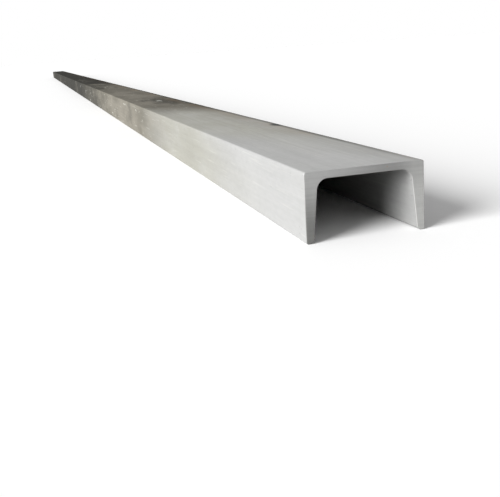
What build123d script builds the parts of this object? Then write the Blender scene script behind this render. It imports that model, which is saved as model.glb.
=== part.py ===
"""Hot-rolled mild steel channel with tapered flanges, one length of stock.

The bar lies as it rests unheld: web on top, flanges hanging down, toes on the floor.
X runs across the web, Y along the length and Z up from the toes to the back of the web.
The origin is on the floor, midway between the toes and midway between the sawn ends.
All sizes are in millimetres.
"""

from build123d import *
import os

# Driving dimensions
length = 6000.0
depth = 80.0
flange_width = 45.0
web_thickness = 5.0
flange_thickness = 7.2
flange_slope = 0.10
root_radius = 7.0
toe_radius = 3.0
toe_heel_radius = 1.2
back_corner_radius = 1.5

# A rolled flange is gauged halfway along its width and thins steadily towards the toe
gauge_line = flange_width / 2
trough_depth = flange_width - web_thickness
toe_thickness = flange_thickness - flange_slope * gauge_line
root_thickness = toe_thickness + flange_slope * trough_depth

# The trough is widest at its mouth, between the toes
mouth_width = depth - 2 * toe_thickness
trough_floor_width = depth - 2 * root_thickness

# Both rounded corners of a toe share its thickness, so a thin toe limits them
widest_toe_share = 0.66
widest_heel_share = 0.25
toe_round = min(toe_radius, widest_toe_share * toe_thickness)
heel_round = min(toe_heel_radius, widest_heel_share * toe_thickness)

with BuildPart() as channel:
    with BuildSketch(Plane.XZ) as section:
        # Block of the outer size, standing on the toes
        Rectangle(depth, flange_width, align=(Align.CENTER, Align.MIN))

        # Trough between the flanges, with the taper of the rolls on both sides
        with BuildLine():
            Polyline(
                (-mouth_width / 2, 0),
                (-trough_floor_width / 2, trough_depth),
                (trough_floor_width / 2, trough_depth),
                (mouth_width / 2, 0),
                close=True,
            )
        make_face(mode=Mode.SUBTRACT)

        # Outer corners, where the back of the web meets the flanges
        back_corners = section.vertices().group_by(Axis.Y)[-1]
        fillet(back_corners, radius=back_corner_radius)

        # Root fillets, where the flanges meet the web inside the trough
        root_corners = section.vertices().group_by(Axis.Y)[1]
        fillet(root_corners, radius=root_radius)

        # Large round on the inner side of each toe
        toe_corners = section.vertices().group_by(Axis.Y)[0].sort_by(Axis.X)
        fillet(toe_corners[1:3], radius=toe_round)

        # Small round on the outer side of each toe
        heel_corners = section.vertices().group_by(Axis.Y)[0].sort_by(Axis.X)
        fillet([heel_corners[0], heel_corners[-1]], radius=heel_round)

    # The section runs unchanged from one sawn end to the other
    extrude(amount=length / 2, both=True)

channel.part.label = "channel"

os.makedirs("parts", exist_ok=True)
export_step(channel.part, "parts/channel.step")
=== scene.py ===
"""Looks of one length of hot-rolled mild steel channel.

The bar lies web up on a pale floor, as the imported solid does, with its near sawn end towards
the camera. Its skin is built at the solid's own size, with true rounds along every long edge, a
broken arris round each sawn end and the faint waviness that rolls leave. Everything is in metres:
X runs across the web, Y along the bar and Z up from the toes to the back of the web.
"""

import logging
import math
from dataclasses import dataclass, field
from enum import Enum

import bmesh
import bpy
from mathutils import Matrix, Vector, noise


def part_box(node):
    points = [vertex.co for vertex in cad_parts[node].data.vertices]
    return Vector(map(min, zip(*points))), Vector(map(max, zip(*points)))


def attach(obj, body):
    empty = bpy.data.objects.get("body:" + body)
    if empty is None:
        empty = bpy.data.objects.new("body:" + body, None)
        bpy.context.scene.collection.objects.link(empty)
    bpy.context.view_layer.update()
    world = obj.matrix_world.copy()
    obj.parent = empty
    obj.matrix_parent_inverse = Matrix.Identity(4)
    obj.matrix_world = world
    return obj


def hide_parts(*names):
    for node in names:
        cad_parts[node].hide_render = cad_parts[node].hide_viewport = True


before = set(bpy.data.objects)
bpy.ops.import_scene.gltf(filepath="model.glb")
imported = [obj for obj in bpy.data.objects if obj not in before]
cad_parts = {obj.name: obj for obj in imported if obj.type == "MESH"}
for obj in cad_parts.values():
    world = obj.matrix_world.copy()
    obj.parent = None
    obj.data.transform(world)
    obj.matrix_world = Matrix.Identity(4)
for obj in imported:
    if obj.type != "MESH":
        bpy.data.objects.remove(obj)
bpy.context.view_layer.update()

log = logging.getLogger("channel")

BODY = "root"
NODE = "channel"
BAKED_MAP = "OFBake"
MM = 0.001

Colour = tuple[float, float, float]
Triple = tuple[float, float, float]
Span = tuple[float, float]
Output = bpy.types.NodeSocket
Outputs = bpy.types.bpy_prop_collection

WHITE: Colour = (1.0, 1.0, 1.0)

# Nearly all of the grain's relief lies between these heights
GRAIN_HEIGHTS: Span = (0.3, 0.7)

# How much of a face's normal points along the bar: more than the first on a sawn end, and less
# than the second on rolled skin. The broken arris lies between them and counts as sawn
SAWN_LEAST_Y = 0.999
ROLLED_MOST_Y = 0.5


class Skin(Enum):
    """The two kinds of surface on the bar, by material index."""

    ROLLED = 0
    SAWN = 1


class Strip(Enum):
    """The long stretches of rolled skin, named as on a bar that lies web up."""

    BACK = "back of the web"
    UNDERSIDE = "underside of the web"
    LEFT_SIDE = "outside of the left flange"
    RIGHT_SIDE = "outside of the right flange"
    LEFT_INNER = "inside of the left flange"
    RIGHT_INNER = "inside of the right flange"
    LEFT_TOE = "left toe"
    RIGHT_TOE = "right toe"


# These strips are laid out by their height, and the others by their distance across the web
UPRIGHT_STRIPS = (Strip.LEFT_SIDE, Strip.RIGHT_SIDE, Strip.LEFT_INNER, Strip.RIGHT_INNER)


def from_display(red: float, green: float, blue: float) -> Colour:
    """Returns the linear colour of three display levels.

    Args:
        red: The red level, from 0 to 255.
        green: The green level, from 0 to 255.
        blue: The blue level, from 0 to 255.

    Returns:
        The colour in linear light.
    """
    shares = [level / 255 for level in (red, green, blue)]
    red, green, blue = (
        share / 12.92 if share <= 0.04045 else ((share + 0.055) / 1.055) ** 2.4
        for share in shares
    )
    return red, green, blue


class ShaderSheet:
    """A node tree that is being filled in, for a finish, the world or a shared effect."""

    def __init__(self, tree: bpy.types.NodeTree) -> None:
        """Starts on a cleared tree.

        Args:
            tree: The node tree.
        """
        self.tree = tree
        tree.nodes.clear()

    def add(self, kind: str, **inputs: object) -> bpy.types.Node:
        """Adds one node.

        Args:
            kind: The node's type, without ShaderNode in front, or whole if it starts with Node.
            **inputs: Settings by their own name, or sockets by name with underscores for
                spaces. A socket takes a number, a colour, or another node's output.

        Returns:
            The new node.
        """
        node = self.tree.nodes.new(kind if kind.startswith("Node") else f"ShaderNode{kind}")
        for name, value in inputs.items():
            if hasattr(node, name):
                setattr(node, name, value)
            else:
                self.feed(node, name.replace("_", " "), value)
        return node

    def feed(self, node: bpy.types.Node, socket: str | int, value: object) -> None:
        """Sets or links one input.

        Args:
            node: The node that is fed.
            socket: The input's name or number.
            value: A number, a colour, or another node's output.
        """
        entry = node.inputs[socket]
        if isinstance(value, bpy.types.NodeSocket):
            self.tree.links.new(value, entry)
        elif entry.type == "RGBA":
            entry.default_value = (*value, 1.0)
        else:
            entry.default_value = value

    def maths(self, operation: str, first: object, second: object) -> Output:
        """Adds a sum, product or the like.

        Args:
            operation: What is done, such as MULTIPLY.
            first: The first value or output.
            second: The second value or output.

        Returns:
            The result.
        """
        node = self.add("Math", operation=operation)
        self.feed(node, 0, first)
        self.feed(node, 1, second)
        return node.outputs[0]

    def ramp(self, value: Output, start: object, end: object, low: float = 0.0,
             high: float = 1.0) -> Output:
        """Adds a smooth change from low to high as a value goes from start to end.

        Args:
            value: The output that is read.
            start: The value or output up to which the result is low.
            end: The value or output from which the result is high.
            low: The result at the start.
            high: The result at the end.

        Returns:
            The result.
        """
        node = self.add("MapRange", interpolation_type="SMOOTHSTEP")
        for number, item in enumerate((value, start, end, low, high)):
            self.feed(node, number, item)
        return node.outputs[0]

    def blend(self, share: object, under: object, over: object, how: str = "MIX") -> Output:
        """Adds a mix of two colours.

        Args:
            share: How much of the second one shows, from 0 to 1.
            under: The first colour or output.
            over: The second colour or output.
            how: The kind of mix, such as MULTIPLY.

        Returns:
            The mixed colour.
        """
        node = self.add("Mix", data_type="RGBA", blend_type=how)
        self.feed(node, 0, share)
        self.feed(node, 6, under)
        self.feed(node, 7, over)
        return node.outputs[2]

    def cloud(self, place: Output, scale: object, detail: float = 3.0, roughness: float = 0.5
              ) -> Output:
        """Adds a cloudy pattern that swings evenly round one half.

        Args:
            place: The coordinates that it reads.
            scale: Its features in each unit of them.
            detail: How many finer layers it has.
            roughness: How strong the finer layers are.

        Returns:
            The pattern's value.
        """
        node = self.add("TexNoise", Vector=place, Scale=scale, Detail=detail, Roughness=roughness)
        return node.outputs[0]


class SharedEffect:
    """A shader node group that more than one finish places with its own values."""

    def __init__(self, name: str, numbers: tuple[str, ...], outputs: tuple[str, ...]) -> None:
        """Makes the group's sockets.

        Args:
            name: The group's name.
            numbers: The names of its number inputs, which follow Place, the coordinates.
            outputs: The outputs' names, which are all numbers.
        """
        self.tree = bpy.data.node_groups.new(name, "ShaderNodeTree")
        self.add_socket("Place", "INPUT", "NodeSocketVector")
        for title in numbers:
            self.add_socket(title, "INPUT", "NodeSocketFloat")
        for title in outputs:
            self.add_socket(title, "OUTPUT", "NodeSocketFloat")
        self.sheet = ShaderSheet(self.tree)
        self.given = self.sheet.add("NodeGroupInput").outputs
        self.result = self.sheet.add("NodeGroupOutput")

    def add_socket(self, title: str, side: str, kind: str) -> None:
        """Adds one socket, with its name, INPUT or OUTPUT, and its type."""
        self.tree.interface.new_socket(name=title, in_out=side, socket_type=kind)

    def put_out(self, name: str, value: Output) -> None:
        """Leads a value to one of the outputs."""
        self.sheet.feed(self.result, name, value)

    def place_in(self, sheet: ShaderSheet, **inputs: object) -> Outputs:
        """Places the group in a finish.

        Args:
            sheet: The finish's node tree.
            **inputs: The group's inputs by name.

        Returns:
            The placed group's outputs, by name.
        """
        node = sheet.add("Group", node_tree=self.tree)
        for name, value in inputs.items():
            sheet.feed(node, name, value)
        return node.outputs


@dataclass
class Effects:
    """The effects that both finishes of the bar share.

    The coarse share is the part of the grain's relief that its coarse layer gives. The gain
    brings that relief's swing to nearly 1 on either side, before the contrast is applied.
    """

    coarse_share: float = 0.6
    tone_gain: float = 4.0
    patch_roughness: float = 0.6
    grain: SharedEffect = field(init=False)
    patches: SharedEffect = field(init=False)

    def __post_init__(self) -> None:
        """Builds each effect once."""
        self.grain = self.make_grain()
        self.patches = self.make_patches()

    def make_grain(self) -> SharedEffect:
        """Builds the fine unevenness of steel.

        Returns:
            An effect with Tone, a factor round one, and Height, a relief from 0 to 1.
        """
        numbers = ("Coarse", "Fine", "Contrast")
        effect = SharedEffect("steel_grain", numbers, ("Tone", "Height"))
        sheet, given = effect.sheet, effect.given
        coarse = sheet.cloud(given["Place"], given["Coarse"], detail=4.0)
        fine = sheet.cloud(given["Place"], given["Fine"], detail=2.0)
        coarse = sheet.maths("MULTIPLY", coarse, self.coarse_share)
        fine = sheet.maths("MULTIPLY", fine, 1 - self.coarse_share)
        height = sheet.maths("ADD", coarse, fine)
        swing = sheet.maths("MULTIPLY", sheet.maths("SUBTRACT", height, 0.5), self.tone_gain)
        tone = sheet.maths("ADD", sheet.maths("MULTIPLY", swing, given["Contrast"]), 1.0)
        effect.put_out("Tone", tone)
        effect.put_out("Height", height)
        return effect

    def make_patches(self) -> SharedEffect:
        """Builds cloudy patches with ragged edges, for stains, scuffs and rust.

        Returns:
            An effect with Mask, which is 1 inside a patch. A higher Edge leaves fewer patches.
        """
        effect = SharedEffect("ragged_patches", ("Scale", "Edge", "Softness"), ("Mask",))
        sheet, given = effect.sheet, effect.given
        value = sheet.cloud(
            given["Place"], given["Scale"], detail=5.0, roughness=self.patch_roughness
        )
        start = sheet.maths("SUBTRACT", given["Edge"], given["Softness"])
        end = sheet.maths("ADD", given["Edge"], given["Softness"])
        effect.put_out("Mask", sheet.ramp(value, start, end))
        return effect


@dataclass(frozen=True)
class GrainPattern:
    """One use of the steel grain.

    A stretch under 1 draws it out along that axis. Coarse and fine are its features in a metre.
    The turn about the bar's length comes after the stretch, so it draws other marks without
    tilting them.
    """

    stretch: Triple
    coarse: float
    fine: float
    contrast: float
    turn_deg: float = 0.0


@dataclass(frozen=True)
class PatchPattern:
    """One use of the ragged patches.

    A stretch under 1 draws them out along the bar, a higher scale makes them smaller, and a
    higher edge leaves fewer. The offset picks other patches, and the share is how far they cover.
    """

    stretch: float
    scale: float
    edge: float
    softness: float
    offset: Triple = (0.0, 0.0, 0.0)
    share: float = 1.0


class FinishSheet(ShaderSheet):
    """The node tree of one of the bar's finishes, with the bar's coordinates at hand."""

    def __init__(self, name: str, effects: Effects) -> None:
        """Starts the finish.

        Args:
            name: The material's name.
            effects: The shared effects.
        """
        self.material = bpy.data.materials.new(name)
        self.material.use_nodes = True
        super().__init__(self.material.node_tree)
        self.effects = effects
        self.place = self.add("TexCoord").outputs["Object"]
        self.x, self.y, self.z = self.add("SeparateXYZ", Vector=self.place).outputs

    def placed(self, stretch: Triple, offset: Triple = (0.0, 0.0, 0.0), turn_deg: float = 0.0
               ) -> Output:
        """Adds a stretch, then a turn about Y and a shift of the bar's coordinates.

        Args:
            stretch: The factor along each axis.
            offset: The shift along each axis.
            turn_deg: The turn about Y, in degrees.

        Returns:
            The changed coordinates.
        """
        node = self.add("Mapping", Vector=self.place, Scale=stretch, Location=offset)
        self.feed(node, "Rotation", (0.0, math.radians(turn_deg), 0.0))
        return node.outputs[0]

    def grain(self, pattern: GrainPattern) -> Outputs:
        """Places the steel grain.

        Args:
            pattern: How it is used.

        Returns:
            The outputs Tone and Height.
        """
        return self.effects.grain.place_in(
            self, Place=self.placed(pattern.stretch, turn_deg=pattern.turn_deg),
            Coarse=pattern.coarse, Fine=pattern.fine, Contrast=pattern.contrast,
        )

    def patches(self, pattern: PatchPattern, edge: Output | None = None) -> Output:
        """Places ragged patches.

        Args:
            pattern: How they are used.
            edge: An output that takes the place of the pattern's own edge.

        Returns:
            How far the patches cover, from 0 to the pattern's share.
        """
        placed = self.effects.patches.place_in(
            self, Place=self.placed((1.0, pattern.stretch, 1.0), pattern.offset),
            Scale=pattern.scale, Edge=pattern.edge if edge is None else edge,
            Softness=pattern.softness,
        )
        return self.maths("MULTIPLY", placed["Mask"], pattern.share)

    def uneven(self, height: Output, middle: float | Output, swing: float) -> Output:
        """Adds a roughness that is lower where the grain stands high.

        Args:
            height: The grain's height.
            middle: The roughness that it swings round.
            swing: How far it swings to either side.

        Returns:
            The roughness.
        """
        swung = self.ramp(height, *GRAIN_HEIGHTS, swing, -swing)
        return self.maths("ADD", swung, middle)

    def finished(self, height: Output, strength: float, relief: float, **inputs: object
                 ) -> bpy.types.Material:
        """Ends the finish with its relief and its shader.

        Args:
            height: The relief's pattern.
            strength: How much of the relief shows, from 0 to 1.
            relief: How deep it is, in metres.
            **inputs: The shader's inputs, named as for add.

        Returns:
            The finished material.
        """
        bump = self.add("Bump", Strength=strength, Distance=relief, Height=height)
        shader = self.add("BsdfPrincipled", Normal=bump.outputs[0], **inputs)
        self.add("OutputMaterial", Surface=shader.outputs[0])
        return self.material


@dataclass(frozen=True)
class LongRound:
    """A round along one corner of the section's right half, and along its mirror image.

    The setback is how far from the sharp corner the round begins.
    """

    x: float
    z: float
    setback: float
    segments: int


@dataclass(frozen=True)
class RolledSection:
    """The channel's cross-section, with its toes at height 0."""

    depth: float
    flange_width: float
    web_thickness: float = 5.0 * MM
    flange_thickness: float = 7.2 * MM
    flange_slope: float = 0.10
    root_radius: float = 7.0 * MM
    toe_radius: float = 3.0 * MM
    heel_radius: float = 1.2 * MM
    back_radius: float = 1.5 * MM
    root_segments: int = 12
    toe_segments: int = 8
    outer_segments: int = 5

    @property
    def half(self) -> float:
        """Returns half the depth, which is the outer sides' distance from the middle."""
        return self.depth / 2

    @property
    def trough_depth(self) -> float:
        """Returns the height of the web's underside over the toes."""
        return self.flange_width - self.web_thickness

    @property
    def toe_thickness(self) -> float:
        """Returns how thick a flange is at its toe, from the gauge halfway along it."""
        return self.flange_thickness - self.flange_slope * self.flange_width / 2

    @property
    def root_thickness(self) -> float:
        """Returns how thick a flange is where it meets the web."""
        return self.toe_thickness + self.flange_slope * self.trough_depth

    def corners(self) -> list[tuple[float, float]]:
        """Lists the sharp corners, starting at the left toe's outer one.

        Returns:
            The corners as (x, z).
        """
        mouth = self.half - self.toe_thickness
        floor = self.half - self.root_thickness
        left = [(-self.half, 0.0), (-mouth, 0.0), (-floor, self.trough_depth)]
        right = [(-x, z) for x, z in reversed(left)]
        back = [(self.half, self.flange_width), (-self.half, self.flange_width)]
        return [*left, *right, *back]

    def rounds(self) -> list[LongRound]:
        """Lists the long edges' rounds: back corners, heels, toes and roots.

        The flange's taper opens the corners at the toes and roots past square, where a round's
        setback is less than its radius.

        Returns:
            The rounds, in the order in which they are rolled.
        """
        opened = math.tan(math.pi / 4 - math.atan(self.flange_slope) / 2)
        mouth = self.half - self.toe_thickness
        floor = self.half - self.root_thickness
        return [
            LongRound(self.half, self.flange_width, self.back_radius, self.outer_segments),
            LongRound(self.half, 0.0, self.heel_radius, self.outer_segments),
            LongRound(mouth, 0.0, self.toe_radius * opened, self.toe_segments),
            LongRound(floor, self.trough_depth, self.root_radius * opened, self.root_segments),
        ]


@dataclass(frozen=True)
class SkinMap:
    """The bar's skin laid out flat in a square, at one scale for all of the rolled skin.

    The long strips are folded into equal lengths that lie one above another, and the two sawn
    ends lie beside each other in a band at the top.
    """

    section: RolledSection
    near_end: float
    far_end: float
    folds: int = 4
    gap: float = 3.0 * MM
    end_band: float = 0.125

    def strips(self) -> dict[Strip, tuple[float, float]]:
        """Lists the strips in the order in which they lie in a fold.

        Returns:
            Where each strip starts across the section, and how wide it is.
        """
        section = self.section
        toe = section.toe_thickness
        return {
            Strip.BACK: (-section.half, section.depth),
            Strip.UNDERSIDE: (toe - section.half, section.depth - 2 * toe),
            **{strip: (0.0, section.flange_width) for strip in UPRIGHT_STRIPS},
            Strip.LEFT_TOE: (-section.half, toe),
            Strip.RIGHT_TOE: (section.half - toe, toe),
        }

    def strip_of(self, face: bmesh.types.BMFace) -> Strip:
        """Finds the strip that a rolled face belongs to, by which way it faces and where it lies.

        Args:
            face: The face.

        Returns:
            Its strip.
        """
        middle = face.calc_center_median()
        left = middle.x < 0
        if abs(face.normal.x) > abs(face.normal.z):
            outside = face.normal.x * middle.x > 0
            if outside:
                return Strip.LEFT_SIDE if left else Strip.RIGHT_SIDE
            return Strip.LEFT_INNER if left else Strip.RIGHT_INNER
        if face.normal.z > 0:
            return Strip.BACK
        if middle.z > self.section.trough_depth / 2:
            return Strip.UNDERSIDE
        return Strip.LEFT_TOE if left else Strip.RIGHT_TOE

    def lay_out(self, mesh: bmesh.types.BMesh) -> None:
        """Gives each corner of each face its place in the square.

        Args:
            mesh: The bar's mesh, with its faces' kinds already set.
        """
        layer = mesh.loops.layers.uv.new(BAKED_MAP)
        moves = {}
        fold_height = 0.0
        for strip, (start, width) in self.strips().items():
            moves[strip] = fold_height - start
            fold_height += width + self.gap
        for face in mesh.faces:
            if face.material_index == Skin.SAWN.value:
                self.lay_sawn(face, layer)
            else:
                self.lay_rolled(face, layer, moves, fold_height)

    def lay_sawn(self, face: bmesh.types.BMFace, layer: bmesh.types.BMLayerItem) -> None:
        """Lays one face of a sawn end in the band at the top.

        Args:
            face: The face.
            layer: The map that is filled in.
        """
        section = self.section
        scale = self.end_band / (section.flange_width + self.gap)
        far = face.calc_center_median().y > 0
        side = section.depth + self.gap if far else 0.0
        for loop in face.loops:
            x, _, z = loop.vert.co
            loop[layer].uv = ((x + section.half + side) * scale, 1 - self.end_band + z * scale)

    def lay_rolled(self, face: bmesh.types.BMFace, layer: bmesh.types.BMLayerItem,
                   moves: dict[Strip, float], fold_height: float) -> None:
        """Lays one rolled face in its strip and fold.

        Args:
            face: The face.
            layer: The map that is filled in.
            moves: How far each strip is moved to its place in the fold.
            fold_height: How high a fold is, with the gaps between its strips.
        """
        scale = (1 - self.end_band) / (self.folds * fold_height)
        fold_length = (self.far_end - self.near_end) / self.folds
        distance = face.calc_center_median().y - self.near_end
        fold = min(int(distance / fold_length), self.folds - 1)
        strip = self.strip_of(face)
        for loop in face.loops:
            x, y, z = loop.vert.co
            along = y - self.near_end - fold * fold_length
            across = fold * fold_height + moves[strip] + (z if strip in UPRIGHT_STRIPS else x)
            loop[layer].uv = (along * scale, across * scale)


@dataclass
class ChannelBar:
    """The rolled bar: one length of the section, sawn square at both ends."""

    section: RolledSection
    near_end: float
    far_end: float
    arris: float = 0.35 * MM
    ripple: float = 0.12 * MM
    ripple_length: float = 90 * MM
    ripple_squeeze: float = 2.0
    rings: int = 240
    web_columns: int = 12
    flange_rows: int = 6
    closeness: float = 0.001 * MM
    mesh: bmesh.types.BMesh = field(default_factory=bmesh.new, repr=False)

    def pull_length(self) -> None:
        """Draws the sharp-cornered section at the near end and pulls it out to the far one."""
        start = self.near_end + self.arris
        stop = self.far_end - self.arris
        outline = [self.mesh.verts.new((x, start, z)) for x, z in self.section.corners()]
        near_face = self.mesh.faces.new(outline)
        pulled = bmesh.ops.extrude_face_region(self.mesh, geom=[near_face], use_keep_orig=True)
        moved = [item for item in pulled["geom"] if isinstance(item, bmesh.types.BMVert)]
        bmesh.ops.translate(self.mesh, verts=moved, vec=Vector((0.0, stop - start, 0.0)))
        bmesh.ops.recalc_face_normals(self.mesh, faces=self.mesh.faces[:])

    def round_corners(self) -> None:
        """Rolls the section's rounds along the long edges."""
        for rounding in self.section.rounds():
            corners = [edge for edge in self.mesh.edges if self.runs_along(edge, rounding)]
            bmesh.ops.bevel(
                self.mesh, geom=corners, offset=rounding.setback, offset_type="OFFSET",
                segments=rounding.segments, profile=0.5, affect="EDGES", clamp_overlap=False,
                material=-1,
            )

    def runs_along(self, edge: bmesh.types.BMEdge, rounding: LongRound) -> bool:
        """Tells whether an edge runs the length of the bar where a round goes.

        Args:
            edge: The edge.
            rounding: The round, whose place counts on either side of the middle.

        Returns:
            True if both its ends lie there and it has a length along the bar.
        """
        first, second = (vert.co for vert in edge.verts)
        there = all(
            abs(abs(end.x) - rounding.x) < self.closeness
            and abs(end.z - rounding.z) < self.closeness
            for end in (first, second)
        )
        return there and abs(second.y - first.y) > self.closeness

    def saw_ends(self) -> None:
        """Stands each sawn face out by the arris, which breaks its edge all the way round."""
        ends = [face for face in self.mesh.faces if abs(face.normal.y) > SAWN_LEAST_Y]
        bmesh.ops.inset_region(
            self.mesh, faces=ends, thickness=self.arris, depth=self.arris,
            use_even_offset=True, use_boundary=True,
        )
        self.mesh.normal_update()
        for face in self.mesh.faces:
            rolled = abs(face.normal.y) < ROLLED_MOST_Y
            face.smooth = rolled
            face.material_index = (Skin.ROLLED if rolled else Skin.SAWN).value

    def cut_grid(self) -> None:
        """Cuts the flats into columns and rows, and the length into rings."""
        for number in range(1, self.web_columns):
            x = self.section.depth * number / self.web_columns - self.section.half
            self.cut(Vector((x, 0.0, 0.0)), Vector((1.0, 0.0, 0.0)))
        for number in range(1, self.flange_rows):
            z = self.section.trough_depth * number / self.flange_rows
            self.cut(Vector((0.0, 0.0, z)), Vector((0.0, 0.0, 1.0)))
        for number in range(1, self.rings):
            y = self.near_end + (self.far_end - self.near_end) * number / self.rings
            self.cut(Vector((0.0, y, 0.0)), Vector((0.0, 1.0, 0.0)))

    def cut(self, point: Vector, normal: Vector) -> None:
        """Cuts the whole mesh along the plane through a point that faces along a normal."""
        everything = [*self.mesh.verts, *self.mesh.edges, *self.mesh.faces]
        bmesh.ops.bisect_plane(
            self.mesh, geom=everything, dist=self.closeness, plane_co=point, plane_no=normal
        )

    def press_ripple(self) -> None:
        """Sinks the rolled skin by a hair in soft waves, never past the nominal size.

        The squeeze makes the waves that much shorter across the bar than along it.
        """
        self.mesh.normal_update()
        squeeze = self.ripple_squeeze
        for vert in self.mesh.verts:
            x, y, z = vert.co
            spot = Vector((squeeze * x, y, squeeze * z)) / self.ripple_length
            push = min(max(0.5 + 0.5 * noise.noise(spot), 0.0), 1.0)
            vert.co -= Vector((vert.normal.x, 0.0, vert.normal.z)) * push * self.ripple

    def build(self, finishes: dict[Skin, bpy.types.Material]) -> bpy.types.Object:
        """Builds the bar, dresses it and links it to the scene.

        Args:
            finishes: A material for each kind of surface.

        Returns:
            The bar, at the origin and untransformed.
        """
        self.pull_length()
        self.round_corners()
        self.saw_ends()
        self.cut_grid()
        self.press_ripple()
        bmesh.ops.recalc_face_normals(self.mesh, faces=self.mesh.faces[:])
        SkinMap(self.section, self.near_end, self.far_end).lay_out(self.mesh)
        data = bpy.data.meshes.new("channel_bar")
        self.mesh.to_mesh(data)
        self.mesh.free()
        for kind in Skin:
            data.materials.append(finishes[kind])
        bar = bpy.data.objects.new("channel_bar", data)
        bpy.context.scene.collection.objects.link(bar)
        even = bar.modifiers.new("even_shading", "WEIGHTED_NORMAL")
        even.keep_sharp = True
        return bar


@dataclass(frozen=True)
class MillScale:
    """The finish of the rolled skin: matt grey oxide, soiled along most of the bar.

    The spans and the nick's Y are distances from the near end. Over the spans the clean skin
    turns olive, then soiled, then darker in patches of oil and at last dark, and the painted
    shade along the right back corner sets in. The oil's spread and the dark over the far stretch
    are partly painted shade, and partly oil and dark scale.
    """

    section: RolledSection
    near_end: float

    clean: Colour = from_display(167, 167, 166)
    olive: Colour = from_display(149, 148, 140)
    soiled: Colour = from_display(112, 109, 101)
    scuffed: Colour = from_display(133, 129, 120)
    # The colour of oil, also used for painted shade over the far stretch and along the right back
    # corner
    oil_and_shade: Colour = from_display(74, 73, 69)
    # Partly dark scale and partly painted shade, laid over the far stretch
    dark: Colour = from_display(52, 52, 51)
    mark: Colour = from_display(200, 199, 192)
    rust: Colour = from_display(150, 122, 94)
    bruise: Colour = from_display(36, 36, 34)

    olive_span: Span = (0.02, 0.35)
    soiled_span: Span = (0.38, 0.72)
    # Where the oil widens over the far stretch, partly as painted shade
    oil_and_shade_span: Span = (1.1, 2.0)
    # Where the far stretch darkens, partly as dark scale and partly as painted shade
    scale_and_shade_span: Span = (1.75, 2.25)
    # Where the painted shade along the right back corner sets in
    painted_shade_span: Span = (0.04, 0.22)

    olive_least: float = 0.7
    scale_and_shade_share: float = 0.65
    # The painted shade's share along the right back corner where it sets in
    painted_shade_least: float = 0.05
    stain_slant: float = 1.2
    stain_stretch: Triple = (14.0, 4.0, 14.0)
    stain_ragged: float = 0.30

    streaks: GrainPattern = GrainPattern(
        stretch=(1.0, 0.012, 1.0), coarse=240.0, fine=900.0, contrast=0.045
    )
    mottle: GrainPattern = GrainPattern(
        stretch=(1.0, 0.35, 1.0), coarse=30.0, fine=330.0, contrast=0.09
    )
    tints: PatchPattern = PatchPattern(stretch=0.4, scale=16.0, edge=0.5, softness=0.12)
    wear: PatchPattern = PatchPattern(
        stretch=0.25, scale=11.0, edge=0.53, softness=0.08, offset=(9.0, 4.0, 2.0), share=0.7
    )
    oil: PatchPattern = PatchPattern(
        stretch=0.3, scale=9.0, edge=0.59, softness=0.08, offset=(3.0, 1.0, 7.0), share=0.8
    )
    oil_last_edge: float = 0.37
    scuffs: PatchPattern = PatchPattern(
        stretch=0.16, scale=60.0, edge=0.67, softness=0.03, offset=(5.0, 8.0, 1.0), share=0.5
    )
    scrapes: PatchPattern = PatchPattern(
        stretch=0.03, scale=480.0, edge=0.64, softness=0.04, offset=(4.0, 2.0, 8.0), share=0.2
    )
    specks: PatchPattern = PatchPattern(
        stretch=0.5, scale=260.0, edge=0.70, softness=0.04, offset=(2.0, 6.0, 4.0), share=0.3
    )
    bloom: PatchPattern = PatchPattern(
        stretch=0.3, scale=30.0, edge=0.52, softness=0.10, offset=(7.0, 3.0, 5.0), share=0.22
    )

    bloom_width: float = 28 * MM
    # How wide the painted shade along the right back corner is
    painted_shade_width: float = 9 * MM
    corner_core: float = 1 * MM
    nick: Triple = (40 * MM, 295 * MM, 45 * MM)
    nick_reach: Triple = (13 * MM, 20 * MM, 13 * MM)
    nick_core: float = 0.5

    right_shade: float = 0.86
    right_shade_at: float = 0.9
    roughness: float = 0.62
    dusty_roughness: float = 0.85
    roughness_swing: float = 0.05
    metallic: float = 0.2
    sheen: float = 0.12
    relief: float = 0.05 * MM
    relief_strength: float = 0.6

    def material(self, effects: Effects) -> bpy.types.Material:
        """Makes the finish.

        Args:
            effects: The shared effects.

        Returns:
            The material.
        """
        sheet = FinishSheet("mill_scale", effects)
        streaks = sheet.grain(self.streaks)
        mottle = sheet.grain(self.mottle)
        along = self.distance_along(sheet)
        soil = sheet.ramp(along, *self.soiled_span)
        colour = self.aged(sheet, along, soil)
        colour = self.marked(sheet, along, soil, colour)
        colour = self.right_corner_marked_and_shaded(sheet, along, colour)
        tone = sheet.maths("MULTIPLY", streaks["Tone"], mottle["Tone"])
        tone = sheet.maths("MULTIPLY", tone, self.side_shade(sheet))
        middle = sheet.ramp(soil, 0.0, 1.0, self.roughness, self.dusty_roughness)
        return sheet.finished(
            height=sheet.maths("ADD", streaks["Height"], mottle["Height"]),
            strength=self.relief_strength,
            relief=self.relief,
            Base_Color=sheet.blend(1.0, colour, tone, "MULTIPLY"),
            Metallic=sheet.ramp(soil, 0.0, 1.0, self.metallic, 0.0),
            Roughness=sheet.uneven(streaks["Height"], middle, self.roughness_swing),
            Specular_IOR_Level=sheet.ramp(soil, 0.0, 1.0, self.sheen, 0.0),
        )

    def distance_along(self, sheet: FinishSheet) -> Output:
        """Measures from the near end, in a way that gives stains a slanting, ragged start.

        Args:
            sheet: The finish's node tree.

        Returns:
            The distance, which grows towards the right side and is pushed to and fro.
        """
        along = sheet.maths("SUBTRACT", sheet.y, self.near_end)
        slant = sheet.maths("MULTIPLY", sheet.x, self.stain_slant)
        ragged = sheet.cloud(sheet.placed(self.stain_stretch), 1.0)
        shift = sheet.maths("MULTIPLY", sheet.maths("SUBTRACT", ragged, 0.5), self.stain_ragged)
        return sheet.maths("ADD", sheet.maths("ADD", along, slant), shift)

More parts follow.
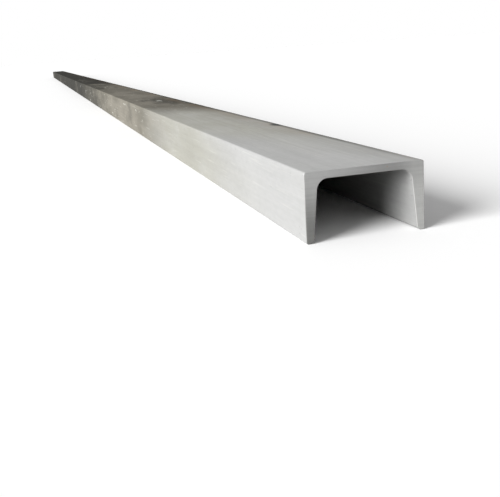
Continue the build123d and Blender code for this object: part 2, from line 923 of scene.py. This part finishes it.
    def aged(self, sheet: FinishSheet, along: Output, soil: Output) -> Output:
        """Adds the colour that the skin takes on along the bar, from clean scale to soil and oil.

        Where the oil spreads over the far stretch, it is partly painted shade.

        Args:
            sheet: The finish's node tree.
            along: The distance from the near end.
            soil: The share of soil.

        Returns:
            The colour.
        """
        tints = sheet.ramp(sheet.patches(self.tints), 0.0, 1.0, self.olive_least, 1.0)
        olive = sheet.maths("MULTIPLY", tints, sheet.ramp(along, *self.olive_span))
        colour = sheet.blend(olive, self.clean, self.olive)
        soiled = sheet.blend(sheet.patches(self.wear), self.soiled, self.scuffed)
        colour = sheet.blend(soil, colour, soiled)

        # The edge that falls along the bar makes the patches of oil widen, darkening the far
        # stretch partly as painted shade
        edge = sheet.ramp(along, *self.oil_and_shade_span, self.oil.edge, self.oil_last_edge)
        oil = sheet.maths("MULTIPLY", sheet.patches(self.oil, edge), soil)
        return sheet.blend(oil, colour, self.oil_and_shade)

    def marked(self, sheet: FinishSheet, along: Output, soil: Output, colour: Output) -> Output:
        """Adds scuffs on the soil, scrapes and specks everywhere, and the dark over them, which
        is partly dark scale and partly painted shade.

        Args:
            sheet: The finish's node tree.
            along: The distance from the near end.
            soil: The share of soil.
            colour: The colour underneath.

        Returns:
            The marked colour.
        """
        scuffs = sheet.maths("MULTIPLY", sheet.patches(self.scuffs), soil)
        marks = sheet.maths("MAXIMUM", scuffs, sheet.patches(self.scrapes))
        colour = sheet.blend(marks, colour, self.mark)
        colour = sheet.blend(sheet.patches(self.specks), colour, self.oil_and_shade)
        # The far stretch's dark: partly dark scale, partly painted shade
        scale_and_shade_darkness = sheet.ramp(along, *self.scale_and_shade_span, 0.0, self.scale_and_shade_share)
        return sheet.blend(scale_and_shade_darkness, colour, self.dark)

    def right_corner_marked_and_shaded(self, sheet: FinishSheet, along: Output, colour: Output) -> Output:
        """Adds a bloom of rust, a painted shade line and one nick at the right back corner.

        Args:
            sheet: The finish's node tree.
            along: The distance from the near end.
            colour: The colour underneath.

        Returns:
            The marked colour.
        """
        near_corner = self.right_corner(sheet, self.bloom_width)
        bloom = sheet.maths("MULTIPLY", sheet.patches(self.bloom), near_corner)
        colour = sheet.blend(bloom, colour, self.rust)
        # Painted shade along the rounded right back corner, which faces away from the lamp
        setting_in = sheet.ramp(along, *self.painted_shade_span, self.painted_shade_least, 1.0)
        line = sheet.maths("MULTIPLY", self.right_corner(sheet, self.painted_shade_width), setting_in)
        colour = sheet.blend(line, colour, self.oil_and_shade)
        return sheet.blend(self.nicked(sheet), colour, self.bruise)

    def right_corner(self, sheet: FinishSheet, width: float) -> Output:
        """Masks the steel round the right back corner.

        Args:
            sheet: The finish's node tree.
            width: How far from the corner the mask fades out.

        Returns:
            The mask, which is 1 within a hair of the corner.
        """
        corner = self.section.half + self.section.flange_width
        reach = sheet.maths("ADD", sheet.x, sheet.z)
        return sheet.ramp(reach, corner - width, corner - self.corner_core)

    def nicked(self, sheet: FinishSheet) -> Output:
        """Masks the one dark nick on the right back corner.

        Args:
            sheet: The finish's node tree.

        Returns:
            The mask, which is 1 in the core of the nick.
        """
        x, y, z = self.nick
        shrink = tuple(1 / reach for reach in self.nick_reach)
        shift = tuple(-part * share for part, share in zip((x, y + self.near_end, z), shrink))
        apart = sheet.add("VectorMath", operation="LENGTH")
        sheet.feed(apart, 0, sheet.placed(shrink, shift))
        return sheet.ramp(apart.outputs["Value"], 1.0, self.nick_core)

    def side_shade(self, sheet: FinishSheet) -> Output:
        """Adds a factor that darkens the skin a little towards the bar's right side.

        Args:
            sheet: The finish's node tree.

        Returns:
            The factor, which is 1 over the left half.
        """
        full_at = self.right_shade_at * self.section.half
        return sheet.ramp(sheet.x, 0.0, full_at, 1.0, self.right_shade)


@dataclass(frozen=True)
class SawnSteel:
    """The finish of the sawn ends: matt bare steel with the blade's fine marks across it.

    The spans in x are shares of half the depth, from the middle, and those in z are shares of
    the height.
    """

    section: RolledSection

    bare: Colour = from_display(156, 156, 155)
    # Painted shade: the web's colour darkens towards the right
    painted_web_shade: Colour = from_display(129, 129, 128)
    # Painted light: a highlight on the right flange, strongest low down
    painted_flange_light: Colour = from_display(168, 168, 166)
    # Painted shade: darkens the left flange towards its toe
    painted_toe_shade: Colour = from_display(112, 112, 110)
    rust: Colour = from_display(138, 108, 80)

    # Where the painted shade on the web, the painted light on the right flange and the painted
    # shade at the left toe lie
    painted_web_shade_x: Span = (-0.9, 0.5)
    painted_flange_light_x: Span = (0.5, 0.9)
    painted_flange_light_z: Span = (1.0, 0.5)
    painted_flange_light_least: float = 0.5
    painted_toe_shade_x: Span = (-0.70, -0.80)
    painted_toe_shade_z: Span = (0.90, 0.20)

    cuts: GrainPattern = GrainPattern(
        stretch=(0.03, 1.0, 1.0), coarse=500.0, fine=1500.0, contrast=0.09, turn_deg=7.0
    )
    mottle: GrainPattern = GrainPattern(
        stretch=(1.0, 1.0, 1.0), coarse=55.0, fine=260.0, contrast=0.06
    )
    specks: PatchPattern = PatchPattern(
        stretch=1.0, scale=240.0, edge=0.69, softness=0.03, share=0.5
    )

    roughness: float = 0.5
    roughness_swing: float = 0.08
    metallic: float = 0.3
    specular: float = 0.3
    relief: float = 0.04 * MM
    relief_strength: float = 0.5

    def material(self, effects: Effects) -> bpy.types.Material:
        """Makes the finish.

        Args:
            effects: The shared effects.

        Returns:
            The material.
        """
        sheet = FinishSheet("sawn_steel", effects)
        cuts = sheet.grain(self.cuts)
        mottle = sheet.grain(self.mottle)
        colour = sheet.blend(sheet.patches(self.specks), self.shades(sheet), self.rust)
        tone = sheet.maths("MULTIPLY", cuts["Tone"], mottle["Tone"])
        return sheet.finished(
            height=sheet.maths("ADD", cuts["Height"], mottle["Height"]),
            strength=self.relief_strength,
            relief=self.relief,
            Base_Color=sheet.blend(1.0, colour, tone, "MULTIPLY"),
            Metallic=self.metallic,
            Roughness=sheet.uneven(cuts["Height"], self.roughness, self.roughness_swing),
            Specular_IOR_Level=self.specular,
        )

    def shades(self, sheet: FinishSheet) -> Output:
        """Adds the bare steel's colour, with painted shade across the web towards the right.

        A painted highlight lies on the right flange, and painted shade darkens the left toe.

        Args:
            sheet: The finish's node tree.

        Returns:
            The colour.
        """
        x = sheet.maths("DIVIDE", sheet.x, self.section.half)
        z = sheet.maths("DIVIDE", sheet.z, self.section.flange_width)
        # Painted shade across the web, growing towards the right
        colour = sheet.blend(sheet.ramp(x, *self.painted_web_shade_x), self.bare, self.painted_web_shade)
        # Painted light on the right flange, strongest low down
        lower = sheet.ramp(z, *self.painted_flange_light_z, self.painted_flange_light_least, 1.0)
        painted_flange_light = sheet.maths("MULTIPLY", sheet.ramp(x, *self.painted_flange_light_x), lower)
        colour = sheet.blend(painted_flange_light, colour, self.painted_flange_light)
        # Painted shade on the left flange towards its toe
        low = sheet.ramp(z, *self.painted_toe_shade_z)
        painted_toe_shade_share = sheet.maths("MULTIPLY", sheet.ramp(x, *self.painted_toe_shade_x), low)
        return sheet.blend(painted_toe_shade_share, colour, self.painted_toe_shade)


@dataclass(frozen=True)
class Studio:
    """A plain pale floor, a soft lamp from the left and an even surround."""

    floor_colour: Colour = (0.60, 0.60, 0.60)
    floor_reach: float = 400.0
    surround: float = 0.36
    lamp: float = 1.8
    lamp_spread_deg: float = 36.0
    towards_lamp: Triple = (-0.86, -0.36, 0.36)

    def lay_floor(self) -> None:
        """Lays the floor under the toes, as a stage that isn't part of the bar."""
        sheet_mesh = bmesh.new()
        bmesh.ops.create_grid(sheet_mesh, x_segments=1, y_segments=1, size=self.floor_reach)
        data = bpy.data.meshes.new("floor")
        sheet_mesh.to_mesh(data)
        sheet_mesh.free()
        floor = bpy.data.objects.new("floor", data)
        bpy.context.scene.collection.objects.link(floor)
        data.materials.append(self.floor_finish())

    def floor_finish(self) -> bpy.types.Material:
        """Makes the floor's finish: pale, and plain white as the camera sees it.

        Returns:
            The material.
        """
        material = bpy.data.materials.new("pale_floor")
        material.use_nodes = True
        sheet = ShaderSheet(material.node_tree)
        colour = sheet.blend(self.seen(sheet), self.floor_colour, WHITE)
        shader = sheet.add("BsdfDiffuse", Color=colour)
        sheet.add("OutputMaterial", Surface=shader.outputs[0])
        return material

    def seen(self, sheet: ShaderSheet) -> Output:
        """Tells what the camera sees from what only lights the bar.

        Args:
            sheet: The node tree of the floor's finish or the world.

        Returns:
            1 for a ray from the camera, also off a gloss or through glass, and 0 otherwise.
        """
        path = sheet.add("LightPath").outputs
        seen = sheet.maths("MAXIMUM", path["Is Camera Ray"], path["Is Glossy Ray"])
        return sheet.maths("MAXIMUM", seen, path["Is Transmission Ray"])

    def light(self) -> None:
        """Sets the surround, which shows as white behind the bar, and hangs the lamp."""
        world = bpy.data.worlds.new("surround")
        world.use_nodes = True
        sheet = ShaderSheet(world.node_tree)
        strength = sheet.ramp(self.seen(sheet), 0.0, 1.0, self.surround, 1.0)
        background = sheet.add("Background", Color=WHITE, Strength=strength)
        sheet.add("OutputWorld", Surface=background.outputs[0])
        bpy.context.scene.world = world

        # A sun of strength pi lights a surface that faces it to that surface's own colour
        data = bpy.data.lights.new("soft_lamp", "SUN")
        data.energy = self.lamp * math.pi
        data.angle = math.radians(self.lamp_spread_deg)
        lamp = bpy.data.objects.new("soft_lamp", data)
        lamp.rotation_mode = "QUATERNION"
        lamp.rotation_quaternion = Vector(self.towards_lamp).to_track_quat("Z", "Y")
        bpy.context.scene.collection.objects.link(lamp)


@dataclass(frozen=True)
class PhotoCamera:
    """The photo's camera, set out from the middle of the bar's near end at floor level."""

    left_of_bar: float = 0.1881
    stand_off: float = 0.4316
    height: float = 0.1190
    pan_right_deg: float = 14.523
    tilt_down_deg: float = 14.627
    roll_deg: float = -3.893
    lens_mm: float = 54.98
    sensor_mm: float = 36.0
    nearest: float = 0.01
    furthest: float = 1000.0

    def set_up(self, near_end: float) -> None:
        """Makes the scene's camera.

        Args:
            near_end: The Y of the bar's near sawn end.
        """
        data = bpy.data.cameras.new("photo_camera")
        data.sensor_fit = "HORIZONTAL"
        data.sensor_width = self.sensor_mm
        data.lens = self.lens_mm
        data.clip_start = self.nearest
        data.clip_end = self.furthest
        camera = bpy.data.objects.new("photo_camera", data)
        pan = Matrix.Rotation(math.radians(-self.pan_right_deg), 4, "Z")
        tilt = Matrix.Rotation(math.radians(90 - self.tilt_down_deg), 4, "X")
        roll = Matrix.Rotation(math.radians(self.roll_deg), 4, "Z")
        place = Matrix.Translation((-self.left_of_bar, near_end - self.stand_off, self.height))
        camera.matrix_world = place @ pan @ tilt @ roll
        bpy.context.scene.collection.objects.link(camera)
        bpy.context.scene.camera = camera


def main() -> None:
    """Builds and dresses the bar, then lays the floor and sets up the light and the camera."""
    logging.basicConfig(level=logging.INFO, format="%(name)s: %(message)s")
    low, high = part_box(NODE)
    section = RolledSection(depth=high.x - low.x, flange_width=high.z - low.z)
    effects = Effects()
    finishes = {
        Skin.ROLLED: MillScale(section=section, near_end=low.y).material(effects),
        Skin.SAWN: SawnSteel(section=section).material(effects),
    }
    bar = ChannelBar(section=section, near_end=low.y, far_end=high.y).build(finishes)
    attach(bar, BODY)
    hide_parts(NODE)
    log.info("%s has %d faces", bar.name, len(bar.data.polygons))

    studio = Studio()
    studio.lay_floor()
    studio.light()
    PhotoCamera().set_up(near_end=low.y)
    bpy.context.scene.view_settings.view_transform = "Standard"


if __name__ == "__main__":
    main()
